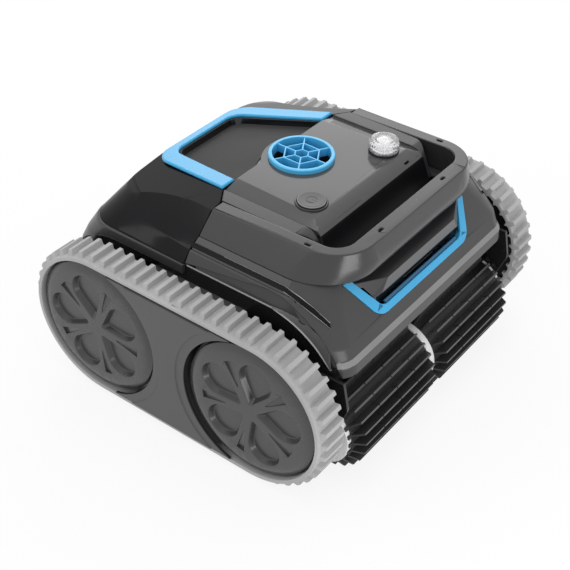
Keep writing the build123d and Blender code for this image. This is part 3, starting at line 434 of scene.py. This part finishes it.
# The walls and deep lip of the bin panel are painted glossy black as painted shade
def shaded_panel_walls(centre, normal):
    return normal.z < PANEL_WALL_SLOPE


def shaded_panel_lip(centre, normal):
    return normal.z > PANEL_WALL_SLOPE and (centre - PANEL_EDGE).dot(PANEL_UP) < -PANEL_LIP_DEPTH


# The front foot of the deck panel takes the dark band finish as painted shade under the deck's roll
def shaded_deck_foot(centre, normal):
    return normal.y < -0.80


def turning_middle(name):
    """Middle and radius of a turning piece, in mm."""
    low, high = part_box(name)
    return (low + high) / 2 / MM, (high.z - low.z) / 2 / MM


FRONT_WHEEL, WHEEL_RADIUS = turning_middle("wheel_front_left")
REAR_WHEEL, _ = turning_middle("wheel_rear_left")
BRUSH, BRUSH_RADIUS = turning_middle("brush_fins_left")


def off_axis(centre, axis):
    """Distance from a line along X."""
    return math.hypot(centre.y - axis.y, centre.z - axis.z)


# The walls of the wheel arches take the inner black as painted shade in the gap round the caps
def shaded_arch_walls(centre, normal):
    near = min(off_axis(centre, FRONT_WHEEL), off_axis(centre, REAR_WHEEL))
    return abs(normal.x) < 0.3 and near < WHEEL_RADIUS + ARCH_REACH


# The fin tips take a lighter grey as painted highlight
def fin_tip_highlights(centre, normal):
    return off_axis(centre, BRUSH) > BRUSH_RADIUS - FIN_TIP_DEPTH


# The mouldings, each with the width of its broken edges in mm
def body_mouldings():
    soft_moulding("carry_handle", 1.3, 3)
    soft_moulding("deck_panel", 0.4, accents=[(painted_shade_band_finish, shaded_deck_foot)])
    soft_moulding("front_casing", 0.6, accents=[(painted_highlight_strip_finish, apron_highlight_strip)])
    soft_moulding("rear_frame", 0.8)
    soft_moulding("hand_scoop", 0.35, accents=[(painted_light_facet_finish, lit_chin_facet), (painted_shade_gloss_finish, shaded_chin_undercut)])
    soft_moulding("front_trim", 0.6)
    soft_moulding("outlet_grille", 0.3, finish=grille_finish)
    soft_moulding("button_bezel", 0.35, finish=cap_finish)
    soft_moulding("base_tub", 0.5, accents=[(casing_finish, tub_shoulder)])


def bin_mouldings():
    soft_moulding("bin_cover", 0.7, crease=9.0)
    soft_moulding("bin_grip", 0.4)
    soft_moulding("bin_panel", 0.4, accents=[(painted_shade_gloss_finish, shaded_panel_walls), (painted_shade_gloss_finish, shaded_panel_lip)])


def track_mouldings():
    for side in ("left", "right"):
        soft_moulding("track_belt_" + side, 0.8)
        soft_moulding("side_plate_" + side, 0.7, accents=[(inner_finish, shaded_arch_walls)])
        for end in ("front", "rear"):
            soft_moulding("wheel_cap_" + end + "_" + side, 0.5, finish=cap_finish)
            soft_moulding("wheel_" + end + "_" + side, 0.5)


def brush_mouldings():
    soft_moulding("brush_core", 0.5)
    for side in ("left", "right"):
        soft_moulding("brush_fins_" + side, 0.3, accents=[(painted_highlight_tip_finish, fin_tip_highlights)])
        soft_moulding("brush_bracket_" + side, 0.6)


# Top and foot of the dark band of painted shade under the left handle arm, from the seam to the front corner,
# in mm
BAND_STATIONS = [
    ((-144.8, 20.8, 203.0), (-148.0, 20.8, 198.8)),
    ((-144.8, -92.0, 203.0), (-148.0, -93.2, 198.8)),
    ((-145.4, -110.2, 199.9), (-149.2, -112.8, 195.1)),
    ((-144.1, -126.8, 192.8), (-147.7, -129.4, 187.9)),
    ((-141.0, -142.5, 182.2), (-143.7, -144.8, 178.3)),
]
BAND_DEPTH = 1.4

# The lines of painted highlight on that band: the start of the top one and their depths in mm, and shares of
# its width
TOP_LINE_START = -20.0
TOP_LINE = (-0.04, 0.10)
LOW_LINE = (0.93, 1.02)
TOP_LINE_DEPTH, LOW_LINE_DEPTH = 1.7, 1.6

# The painted highlight along the edge of the left skirt, in mm: a straight run, then an arc round the front
# corner
SKIRT_REAR = 20.8
SKIRT_BEND = -84.0
SKIRT_HEIGHT = 178.8
SKIRT_OUT = 153.5
SKIRT_PROUD = 0.3
SKIRT_ARC_RADIUS = 81.2
SKIRT_ARC_TURN = math.radians(60)
SKIRT_ARC_STEPS = 12
SKIRT_FLARE = 2.7
EDGE_HALF_WIDTH = 0.7
EDGE_DEPTH = 0.8
EDGE_TOP_FLARE = 0.75

# The cheek between the casing and that edge, painted lighter as if lit, in mm: its top rises, leans in and
# falls back along the arc
CHEEK_FOOT = 1.3
CHEEK_RISE = 20.0
CHEEK_RISE_POWER = 1.2
CHEEK_TUCK = 0.6
CHEEK_LEAN = 1.4
CHEEK_BACK = 3.4
CHEEK_FLARE = 0.67
CHEEK_DEPTH = 2.2


def skirt_arc():
    """Share of the turn, flare, place along, height and angle, at each step round the front corner."""
    for step in range(SKIRT_ARC_STEPS + 1):
        share = step / SKIRT_ARC_STEPS
        turn = SKIRT_ARC_TURN * share
        along = SKIRT_BEND - SKIRT_ARC_RADIUS * math.sin(turn)
        height = SKIRT_HEIGHT - SKIRT_ARC_RADIUS * (1 - math.cos(turn))
        flare = SKIRT_FLARE * math.sqrt(max(0.0, math.sin(math.pi * share)))
        yield share, flare, along, height, turn


def edge_stations():
    """Top and foot of the painted highlight along the edge of the left skirt."""
    half = EDGE_HALF_WIDTH
    top_out, foot_out = SKIRT_PROUD - SKIRT_OUT, -SKIRT_PROUD - SKIRT_OUT
    stations = [((top_out, SKIRT_REAR, SKIRT_HEIGHT + half), (foot_out, SKIRT_REAR, SKIRT_HEIGHT - half))]
    for _, flare, along, height, turn in skirt_arc():
        ahead, up = half * math.sin(turn), half * math.cos(turn)
        top = (top_out - EDGE_TOP_FLARE * flare, along - ahead, height + up)
        foot = (foot_out - flare, along + ahead, height - up)
        stations.append((top, foot))
    return stations


def cheek_stations():
    """Top and foot of the cheek that carries the left skirt round the front corner."""
    stations = []
    for share, flare, along, height, _ in skirt_arc():
        top = (
            CHEEK_TUCK - SKIRT_OUT + CHEEK_LEAN * share**2,
            along + CHEEK_BACK * share**2,
            height + CHEEK_FOOT + CHEEK_RISE * share**CHEEK_RISE_POWER,
        )
        stations.append((top, (-SKIRT_PROUD - SKIRT_OUT - CHEEK_FLARE * flare, along, height)))
    return stations


def swept_strip(stations):
    """A strip carried from station to station, facing left."""
    shape = bmesh.new()
    rail = shape.edges.new([shape.verts.new(Vector(spot) * MM) for spot in stations[0]])
    for station in stations[1:]:
        grown = bmesh.ops.extrude_edge_only(shape, edges=[rail])["geom"]
        fresh = [item for item in grown if isinstance(item, bmesh.types.BMVert)]
        rail = [item for item in grown if isinstance(item, bmesh.types.BMEdge)][0]
        for vert, spot in zip(sorted(fresh, key=lambda item: -item.co.z), station):
            bmesh.ops.translate(shape, verts=[vert], vec=Vector(spot) * MM - vert.co)
    bmesh.ops.recalc_face_normals(shape, faces=shape.faces)
    if shape.faces[:][0].normal.x > 0:
        bmesh.ops.reverse_faces(shape, faces=shape.faces)
    return shape


def share_of(stations, start, end):
    """The stations of a narrower strip, between two shares of the width."""
    pairs = [(Vector(top), Vector(foot)) for top, foot in stations]
    return [(top.lerp(foot, start), top.lerp(foot, end)) for top, foot in pairs]


def strip_on_flank(name, stations, side, depth, finish):
    """A strip of the body's left flank, given its depth inwards and mirrored for the right."""
    shape = swept_strip(stations)
    bmesh.ops.solidify(shape, geom=shape.faces[:], thickness=depth * MM)
    if side > 0:
        bmesh.ops.scale(shape, verts=shape.verts, vec=(-1, 1, 1))
    bmesh.ops.recalc_face_normals(shape, faces=shape.faces)
    put_in_place(name + ("_right" if side > 0 else "_left"), shape, [finish], BODY)


def flank_lines(side):
    """A dark band of painted shade under a handle arm with lines of painted highlight, then the cheek painted
    lighter as if lit, and a painted highlight along the edge of the skirt.
    """
    top, foot = BAND_STATIONS[0]
    lit = [((top[0], TOP_LINE_START, top[2]), (foot[0], TOP_LINE_START, foot[2]))] + BAND_STATIONS[1:]
    strip_on_flank("flank_shade_band", BAND_STATIONS, side, BAND_DEPTH, painted_shade_band_finish)
    strip_on_flank("band_top_highlight", share_of(lit, *TOP_LINE), side, TOP_LINE_DEPTH, painted_highlight_line_finish)
    strip_on_flank("band_low_highlight", share_of(lit[1:], *LOW_LINE), side, LOW_LINE_DEPTH, painted_highlight_line_finish)
    strip_on_flank("skirt_cheek_lit", cheek_stations(), side, CHEEK_DEPTH, painted_light_facet_finish)
    strip_on_flank("skirt_edge_highlight", edge_stations(), side, EDGE_DEPTH, painted_highlight_line_finish)


# Turned pieces, by the number of steps in a turn
BUTTON_STEPS = 64
RING_STEPS = 96


def spin_round(shape, profile, way, steps):
    """Spins a profile once round an axis through the origin and closes its seam and poles."""
    bmesh.ops.spin(shape, geom=profile, cent=(0, 0, 0), axis=way, angle=math.tau, steps=steps, use_merge=True)
    bmesh.ops.remove_doubles(shape, verts=shape.verts, dist=SEAM_GAP * MM)
    bmesh.ops.recalc_face_normals(shape, faces=shape.faces)


def turned(shape, profile, middle):
    """A half profile of radius and height pairs, spun once round the middle."""
    points = [shape.verts.new((radius, 0, height)) for radius, height in profile]
    edges = [shape.edges.new(pair) for pair in zip(points, points[1:])]
    spin_round(shape, points + edges, (0, 0, 1), BUTTON_STEPS)
    bmesh.ops.translate(shape, verts=shape.verts, vec=middle)


def core_band():
    """White ring of the roller between the two fin sleeves."""
    low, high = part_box("brush_core")
    middle = (low + high) / 2
    clearance, rise, half, soft = 0.05 * MM, 2.6 * MM, 4.4 * MM, 0.7 * MM
    foot = (high.z - low.z) / 2 + clearance
    rim = foot + rise
    left = [(foot, -half), (rim - soft, -half), (rim, soft - half)]
    ring = left + [(radius, -across) for radius, across in reversed(left)]
    shape = bmesh.new()
    points = [shape.verts.new((across, 0, radius)) for radius, across in ring]
    edges = [shape.edges.new(pair) for pair in zip(points, points[1:] + points[:1])]
    spin_round(shape, points + edges, (1, 0, 0), RING_STEPS)
    bmesh.ops.translate(shape, verts=shape.verts, vec=middle)
    for face in shape.faces:
        face.smooth = True
    band = put_in_place("core_band", shape, [core_finish], "brush")
    band.data.set_sharp_from_angle(angle=math.radians(SHARP_ANGLE))


def trim_step():
    """Lower ledge inside the foot of the front trim, in a darker copy of the trim blue as painted shade."""
    width, depth, length = 3.6 * MM, 2.6 * MM, 132.0 * MM
    soft = 0.5 * MM
    spread = 1.03
    place = Vector((0, -154.6, 166.9)) * MM
    apron_slope = Matrix.Rotation(math.atan(1.4), 3, "X")
    shape = bmesh.new()
    block = bmesh.ops.create_cube(shape, size=1.0)["verts"]
    bmesh.ops.scale(shape, verts=block, vec=(length, width, depth))
    upper = [vert for vert in block if vert.co.y > 0]
    bmesh.ops.scale(shape, verts=upper, vec=(spread, 1, 1))
    bmesh.ops.bevel(
        shape, geom=shape.edges[:], offset=soft, affect="EDGES", segments=2, profile=0.5, material=-1
    )
    bmesh.ops.rotate(shape, verts=shape.verts, cent=(0, 0, 0), matrix=apron_slope)
    bmesh.ops.translate(shape, verts=shape.verts, vec=place)
    put_in_place("trim_step", shape, [painted_shade_ledge_finish], BODY)


# Power button
def power_button():
    """A shallow dish inside a rim of painted highlight, with dark sides and a stem."""
    low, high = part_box("power_button")
    middle = Vector(((low.x + high.x) / 2, (low.y + high.y) / 2, high.z))
    radius = (high.x - low.x) / 2
    stem = 0.42 * radius
    highlight_rim_start = 0.95
    skirt = -5.2 * MM
    profile = [
        (0.0, -0.35 * MM),
        (0.50 * radius, -0.32 * MM),
        (0.78 * radius, -0.20 * MM),
        (0.90 * radius, 0.0),
        (0.96 * radius, -0.12 * MM),
        (0.99 * radius, -0.55 * MM),
        (radius, -1.2 * MM),
        (radius, skirt),
        (stem, skirt),
        (stem, low.z - high.z),
        (0.0, low.z - high.z),
    ]
    shape = bmesh.new()
    turned(shape, profile, middle)
    for face in shape.faces:
        face.smooth = True
        out = (face.calc_center_median() - middle).xy.length / radius
        # Sides take the inner black; the rim takes the light grey as painted highlight
        if face.normal.z < 0.1:
            face.material_index = 2
        elif out > highlight_rim_start:
            face.material_index = 1
    finishes = [button_finish, painted_highlight_line_finish, inner_finish]
    cap = put_in_place("button_cap", shape, finishes, "button")
    cap.data.set_sharp_from_angle(angle=math.radians(SHARP_ANGLE))
    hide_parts("power_button")
    power_mark(middle)


def power_mark(middle):
    """An open ring and a bar, raised on the cap and read from the rear."""
    reach, bar = 5.2 * MM, 0.9 * MM
    foot, top = -0.70 * MM, -0.08 * MM
    arm_level = -0.60 * MM
    opening = math.radians(76)
    shape = bmesh.new()
    corners = [(-bar / 2, foot), (bar / 2, foot), (bar / 2, top), (-bar / 2, top)]
    section = [shape.verts.new((reach + across, 0, height)) for across, height in corners]
    face = shape.faces.new(section)
    start = Matrix.Rotation((opening - math.pi) / 2, 3, "Z")
    bmesh.ops.rotate(shape, verts=section, cent=(0, 0, 0), matrix=start)
    bmesh.ops.spin(
        shape,
        geom=[face] + section + list(face.edges),
        cent=(0, 0, 0),
        axis=(0, 0, 1),
        angle=math.tau - opening,
        steps=40,
    )
    bmesh.ops.contextual_create(shape, geom=section)
    arm = bmesh.ops.create_cube(shape, size=1.0)["verts"]
    bmesh.ops.scale(shape, verts=arm, vec=(bar, 1.05 * reach, top - foot))
    bmesh.ops.translate(shape, verts=arm, vec=(0, -0.55 * reach, arm_level))
    bmesh.ops.recalc_face_normals(shape, faces=shape.faces)
    bmesh.ops.translate(shape, verts=shape.verts, vec=middle)
    put_in_place("power_mark", shape, [cap_finish], "button")


# Status light
def status_light():
    """A clear ribbed lens with a faceted top, a core with a painted glow inside it and a dark seal below."""
    low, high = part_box("light_lens")
    middle = Vector(((low.x + high.x) / 2, (low.y + high.y) / 2, low.z))
    radius = (high.x - low.x) / 2
    wall = 10.6 * MM
    light_crystal(middle, radius, wall, high.z - low.z)
    core = bmesh.new()
    bmesh.ops.create_cone(
        core,
        cap_ends=True,
        segments=13,
        radius1=0.70 * radius,
        radius2=0.34 * radius,
        depth=0.62 * wall,
        matrix=Matrix.Translation(middle + Vector((0, 0, 0.36 * wall))),
    )
    put_in_place("light_core", core, [painted_glow_core_finish], BODY)
    soft_moulding("light_base", 0.3, finish=tub_finish)


def light_crystal(middle, radius, wall, height):
    """The lens: two rows of poked facets round the wall, then a shoulder and a ring of facets on top."""
    ribs, draft, rib_rise = 30, 0.97, 1.1 * MM
    shoulder_width, shoulder_rise, shoulder_facet = 2.2 * MM, 1.7 * MM, 0.7 * MM
    ring_width, ring_sink, ring_facet = 4.2 * MM, -0.5 * MM, 0.8 * MM
    crown = height - wall - 1.5 * MM
    shape = bmesh.new()
    bmesh.ops.create_cone(
        shape,
        cap_ends=True,
        segments=ribs,
        radius1=radius,
        radius2=draft * radius,
        depth=wall,
        matrix=Matrix.Translation((0, 0, wall / 2)),
    )
    everything = list(shape.verts) + list(shape.edges) + list(shape.faces)
    bmesh.ops.bisect_plane(shape, geom=everything, plane_co=(0, 0, wall / 2), plane_no=(0, 0, 1))
    sides = [face for face in shape.faces if abs(face.normal.z) < 0.5]
    bmesh.ops.poke(shape, faces=sides, offset=rib_rise)
    caps = [face for face in shape.faces if len(face.verts) == ribs]
    top = max(caps, key=lambda face: face.calc_center_median().z)
    shoulder = bmesh.ops.inset_region(shape, faces=[top], thickness=shoulder_width, depth=shoulder_rise)
    bmesh.ops.poke(shape, faces=shoulder["faces"], offset=shoulder_facet)
    ring = bmesh.ops.inset_region(shape, faces=[top], thickness=ring_width, depth=ring_sink)
    bmesh.ops.poke(shape, faces=ring["faces"], offset=ring_facet)
    bmesh.ops.poke(shape, faces=[top], offset=crown)
    bmesh.ops.recalc_face_normals(shape, faces=shape.faces)
    bmesh.ops.translate(shape, verts=shape.verts, vec=middle)
    lens = put_in_place("light_crystal", shape, [crystal_finish], BODY)
    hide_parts("light_lens")


# Stage
def seen_rays(tree):
    """1 for rays that see the surround: from the camera, off gloss or through the lens."""
    path = tree.nodes.new("ShaderNodeLightPath")
    total = path.outputs["Is Camera Ray"]
    for label in ("Is Glossy Ray", "Is Transmission Ray"):
        both = tree.nodes.new("ShaderNodeMath")
        both.operation = "MAXIMUM"
        tree.links.new(total, both.inputs[0])
        tree.links.new(path.outputs[label], both.inputs[1])
        total = both.outputs["Value"]
    return total


def pale_floor():
    """A white floor that keeps the shadow."""
    shape = bmesh.new()
    bmesh.ops.create_grid(shape, x_segments=1, y_segments=1, size=FLOOR_SIZE)
    mesh = bpy.data.meshes.new("floor")
    shape.to_mesh(mesh)
    shape.free()
    floor = bpy.data.objects.new("floor", mesh)
    bpy.context.collection.objects.link(floor)
    material, tree, shader = blank_material("floor_finish")
    shader.inputs["Base Color"].default_value = (FLOOR_WHITE, FLOOR_WHITE, FLOOR_WHITE, 1)
    shader.inputs["Roughness"].default_value = 0.9
    shader.inputs["Specular IOR Level"].default_value = 0.0
    glow = tree.nodes.new("ShaderNodeEmission")
    glow.inputs["Strength"].default_value = 1.0
    blend = tree.nodes.new("ShaderNodeMixShader")
    share = tree.nodes.new("ShaderNodeMath")
    share.operation = "MULTIPLY"
    share.inputs[1].default_value = FLOOR_WHITE
    tree.links.new(seen_rays(tree), share.inputs[0])
    tree.links.new(share.outputs["Value"], blend.inputs["Fac"])
    tree.links.new(shader.outputs["BSDF"], blend.inputs[1])
    tree.links.new(glow.outputs["Emission"], blend.inputs[2])
    tree.links.new(blend.outputs["Shader"], tree.nodes["Material Output"].inputs["Surface"])
    mesh.materials.append(material)


def white_surround():
    """White to be seen, and a little dimmer as light."""
    world = bpy.data.worlds.new("surround")
    world.use_nodes = True
    bpy.context.scene.world = world
    tree = world.node_tree
    background = tree.nodes["Background"]
    background.inputs["Color"].default_value = (1, 1, 1, 1)
    strength = tree.nodes.new("ShaderNodeMapRange")
    strength.inputs["To Min"].default_value = SURROUND_LIGHT
    strength.inputs["To Max"].default_value = 1.0
    tree.links.new(seen_rays(tree), strength.inputs["Value"])
    tree.links.new(strength.outputs["Result"], background.inputs["Strength"])


def soft_lamp(name, place, aim, width, height, power):
    """A rectangular lamp aimed at a point, unseen by the camera."""
    lamp = bpy.data.lights.new(name, "AREA")
    lamp.shape = "RECTANGLE"
    lamp.size = width
    lamp.size_y = height
    lamp.energy = power
    holder = bpy.data.objects.new(name, lamp)
    holder.location = place
    holder.rotation_euler = (Vector(aim) - Vector(place)).to_track_quat("-Z", "Y").to_euler()
    holder.visible_camera = False
    bpy.context.collection.objects.link(holder)


def studio():
    """A window behind, a bank to the left, a low card at the front corner and a bank overhead."""
    soft_lamp("rear_window", (1.16, 0.90, 0.86), (0, 0, 0.2), 1.0, 0.80, 4.2)
    soft_lamp("left_bank", (-1.20, 0.78, 0.93), (0, 0, 0.2), 0.8, 0.32, 1.8)
    soft_lamp("corner_card", (-0.26, -0.62, 0.10), (-0.11, -0.14, 0.226), 0.34, 0.10, 0.66)
    soft_lamp("top_bank", (0.0, 0.1, 1.7), (0, 0, 0.2), 1.2, 1.2, 5.0)


def camera():
    """The camera, with colours shown as they are written."""
    view = bpy.data.cameras.new("camera")
    view.lens = CAMERA_LENS
    view.sensor_width = SENSOR_WIDTH
    holder = bpy.data.objects.new("camera", view)
    holder.location = CAMERA_PLACE
    holder.rotation_euler = [math.radians(angle) for angle in CAMERA_TURN]
    bpy.context.collection.objects.link(holder)
    bpy.context.scene.camera = holder
    bpy.context.scene.view_settings.view_transform = "Standard"


dress_cad_nodes()
body_mouldings()
bin_mouldings()
track_mouldings()
brush_mouldings()
core_band()
trim_step()
for flank in (-1, 1):
    flank_lines(flank)
power_button()
status_light()
pale_floor()
white_surround()
studio()
camera()
